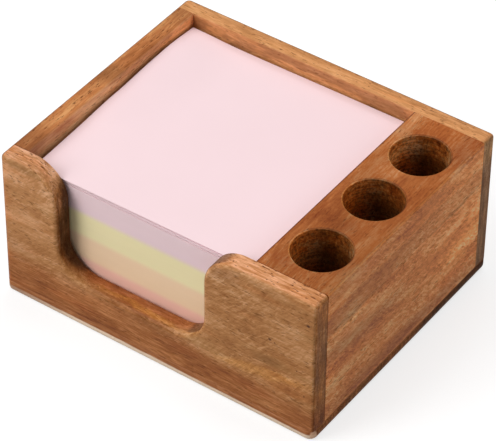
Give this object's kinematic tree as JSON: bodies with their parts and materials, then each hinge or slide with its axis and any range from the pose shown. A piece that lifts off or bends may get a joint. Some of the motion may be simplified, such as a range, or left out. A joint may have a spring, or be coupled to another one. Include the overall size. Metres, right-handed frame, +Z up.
{
  "type": "sticky note holder",
  "caption": "Wooden note box: a square tray of pastel note paper with a rounded thumb notch in front, beside a solid block bored for pens.",
  "frame": {"origin": "middle of the underside, where the box stands on the desk", "axes": "+X towards the pen block, along the longest side; -Y towards the notched front; +Z up"},
  "size_m": [0.1266, 0.1052, 0.0605],
  "materials": {
    "tan_wood": "oiled, satin, fine straight grain with dark pores",
    "golden_wood": "oiled, satin, golden streaks",
    "brown_wood": "oiled, satin",
    "red_brown_wood": "oiled, satin, striped grain",
    "base_wood": "oiled, with a pale sapwood front edge",
    "dowel_wood": "plain light hardwood, hidden",
    "blue_paper": "matt, cut sheet edges",
    "coral_paper": "matt, cut sheet edges",
    "peach_paper": "matt, cut sheet edges",
    "yellow_paper": "matt, cut sheet edges",
    "pink_paper": "matt, cut sheet edges"
  },
  "bodies": {
    "tray": {"front_panel": "tan_wood", "back_panel": "golden_wood", "left_wall": "brown_wood", "pen_block": "red_brown_wood", "base_board": "base_wood", "front_dowels": "dowel_wood", "back_dowels": "dowel_wood"},
    "blue_notes": {"blue_pad": "blue_paper"},
    "coral_notes": {"coral_pad": "coral_paper"},
    "peach_notes": {"peach_pad": "peach_paper"},
    "yellow_notes": {"yellow_pad": "yellow_paper"},
    "pink_notes": {"pink_pad": "pink_paper"},
    "loose_notes": {"loose_sheets": "pink_paper"},
    "top_note": {"top_sheet": "pink_paper"}
  },
  "joints": [
    {"name": "blue_lift", "type": "slide", "parent": "tray", "child": "blue_notes", "axis": [0, 0, 1], "range_m": [0, 0.0585]},
    {"name": "coral_lift", "type": "slide", "parent": "blue_notes", "child": "coral_notes", "axis": [0, 0, 1], "range_m": [0, 0.05005]},
    {"name": "peach_lift", "type": "slide", "parent": "coral_notes", "child": "peach_notes", "axis": [0, 0, 1], "range_m": [0, 0.04011]},
    {"name": "yellow_lift", "type": "slide", "parent": "peach_notes", "child": "yellow_notes", "axis": [0, 0, 1], "range_m": [0, 0.03018]},
    {"name": "pink_lift", "type": "slide", "parent": "yellow_notes", "child": "pink_notes", "axis": [0, 0, 1], "range_m": [0, 0.02024]},
    {"name": "loose_lift", "type": "slide", "parent": "pink_notes", "child": "loose_notes", "axis": [0, 0, 1], "range_m": [0, 0.01]},
    {"name": "top_lift", "type": "slide", "parent": "loose_notes", "child": "top_note", "axis": [0, 0, 1], "range_m": [0, 0.0088]}
  ]
}
